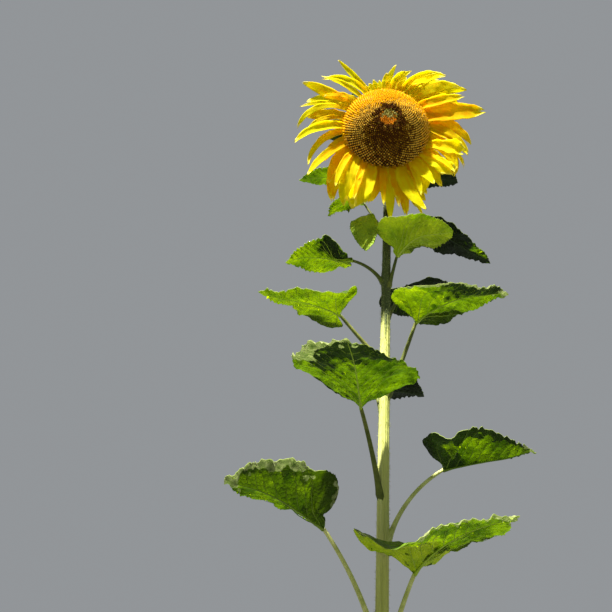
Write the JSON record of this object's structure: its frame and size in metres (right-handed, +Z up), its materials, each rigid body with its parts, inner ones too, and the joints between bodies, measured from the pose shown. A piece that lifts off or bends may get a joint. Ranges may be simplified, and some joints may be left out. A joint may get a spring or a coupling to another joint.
{
  "type": "sunflower plant",
  "caption": "Tall rooted sunflower plant with one nodding bloom, a leaning ridged stem and broad stalked heart-shaped leaves all the way up it.",
  "frame": {"origin": "middle of the stem's flat cut at ground level", "axes": "+Z up along the stem, -Y the way that the bloom looks, +X to the right as the bloom is seen"},
  "size_m": [0.7198, 0.7408, 2.6462],
  "materials": {
    "stem": "pale green ridged skin with short bristles",
    "stalk": "green grooved skin, semi-matt",
    "leaf": "rough veined green leaf that lets light through",
    "bract": "matt green, bristly",
    "disc": "small brown and golden florets",
    "petal": "soft golden yellow with fine ribs"
  },
  "bodies": {
    "root": {"stem": "stem", "neck": "stalk", "petiole_01": "stalk", "leaf_01": "leaf", "petiole_02": "stalk", "leaf_02": "leaf", "petiole_03": "stalk", "leaf_03": "leaf", "petiole_04": "stalk", "leaf_04": "leaf", "petiole_05": "stalk", "leaf_05": "leaf", "petiole_06": "stalk", "leaf_06": "leaf", "petiole_07": "stalk", "leaf_07": "leaf", "petiole_08": "stalk", "leaf_08": "leaf", "petiole_09": "stalk", "leaf_09": "leaf", "petiole_10": "stalk", "leaf_10": "leaf", "petiole_11": "stalk", "leaf_11": "leaf", "petiole_12": "stalk", "leaf_12": "leaf", "petiole_13": "stalk", "leaf_13": "leaf", "petiole_14": "stalk", "leaf_14": "leaf", "petiole_15": "stalk", "leaf_15": "leaf", "petiole_16": "stalk", "leaf_16": "leaf", "petiole_17": "stalk", "leaf_17": "leaf", "petiole_18": "stalk", "leaf_18": "leaf", "petiole_19": "stalk", "leaf_19": "leaf", "petiole_20": "stalk", "leaf_20": "leaf", "petiole_21": "stalk", "leaf_21": "leaf", "petiole_22": "stalk", "leaf_22": "leaf", "petiole_23": "stalk", "leaf_23": "leaf", "petiole_24": "stalk", "leaf_24": "leaf", "petiole_25": "stalk", "leaf_25": "leaf", "disc": "disc", "ray_petals": "petal", "receptacle": "bract"}
  },
  "joints": []
}
